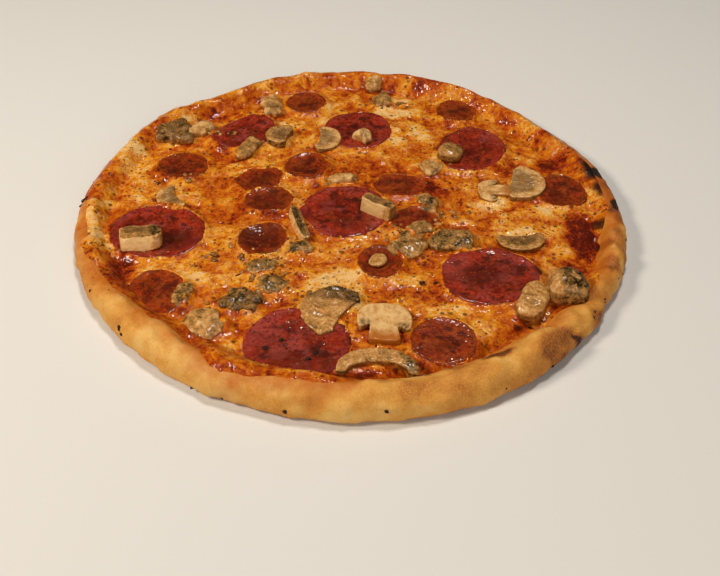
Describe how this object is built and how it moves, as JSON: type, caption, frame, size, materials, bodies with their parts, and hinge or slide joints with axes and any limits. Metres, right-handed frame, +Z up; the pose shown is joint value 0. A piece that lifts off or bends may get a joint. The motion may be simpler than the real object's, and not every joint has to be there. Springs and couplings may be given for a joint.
{
  "type": "diavola pizza",
  "caption": "Round baked pizza with a raised dough rim, melted cheese and sauce, spicy salami slices and cooked mushroom pieces.",
  "frame": {"origin": "middle of the resting side, under the middle of the bounding box", "axes": "+Z up through the pizza, +Y away from the eater, +X to the eater's right"},
  "size_m": [0.3062, 0.3088, 0.0218],
  "materials": {
    "crust": "baked dough, pale gold with brown and charred spots",
    "cheese": "melted cheese and tomato sauce, oily and mottled",
    "salami_wide": "baked salami, bright red with darker fat and pepper specks, oily",
    "salami_narrow": "baked salami, brick red to brown, oily",
    "mushroom": "cooked mushroom, cream flesh and brown gills and skin"
  },
  "bodies": {
    "root": {"crust": "crust", "cheese": "cheese", "salami_wide_01": "salami_wide", "salami_wide_02": "salami_wide", "salami_wide_03": "salami_wide", "salami_wide_04": "salami_wide", "salami_wide_05": "salami_wide", "salami_wide_06": "salami_wide", "salami_wide_07": "salami_wide", "salami_narrow_01": "salami_narrow", "salami_narrow_02": "salami_narrow", "salami_narrow_03": "salami_narrow", "salami_narrow_04": "salami_narrow", "salami_narrow_05": "salami_narrow", "salami_narrow_06": "salami_narrow", "salami_narrow_07": "salami_narrow", "salami_narrow_08": "salami_narrow", "salami_narrow_09": "salami_narrow", "salami_narrow_10": "salami_narrow", "salami_narrow_11": "salami_narrow", "salami_narrow_12": "salami_narrow", "salami_narrow_13": "salami_narrow", "mushroom_01": "mushroom", "mushroom_02": "mushroom", "mushroom_03": "mushroom", "mushroom_04": "mushroom", "mushroom_05": "mushroom", "mushroom_06": "mushroom", "mushroom_07": "mushroom", "mushroom_08": "mushroom", "mushroom_09": "mushroom", "mushroom_10": "mushroom", "mushroom_11": "mushroom", "mushroom_12": "mushroom", "mushroom_13": "mushroom", "mushroom_14": "mushroom", "mushroom_15": "mushroom", "mushroom_16": "mushroom", "mushroom_17": "mushroom", "mushroom_18": "mushroom", "mushroom_19": "mushroom", "mushroom_20": "mushroom", "mushroom_21": "mushroom", "mushroom_22": "mushroom", "mushroom_23": "mushroom", "mushroom_24": "mushroom", "mushroom_25": "mushroom", "mushroom_26": "mushroom", "mushroom_27": "mushroom", "mushroom_28": "mushroom", "mushroom_29": "mushroom", "mushroom_30": "mushroom", "mushroom_31": "mushroom", "mushroom_32": "mushroom", "mushroom_33": "mushroom", "mushroom_34": "mushroom", "mushroom_35": "mushroom"}
  },
  "joints": []
}
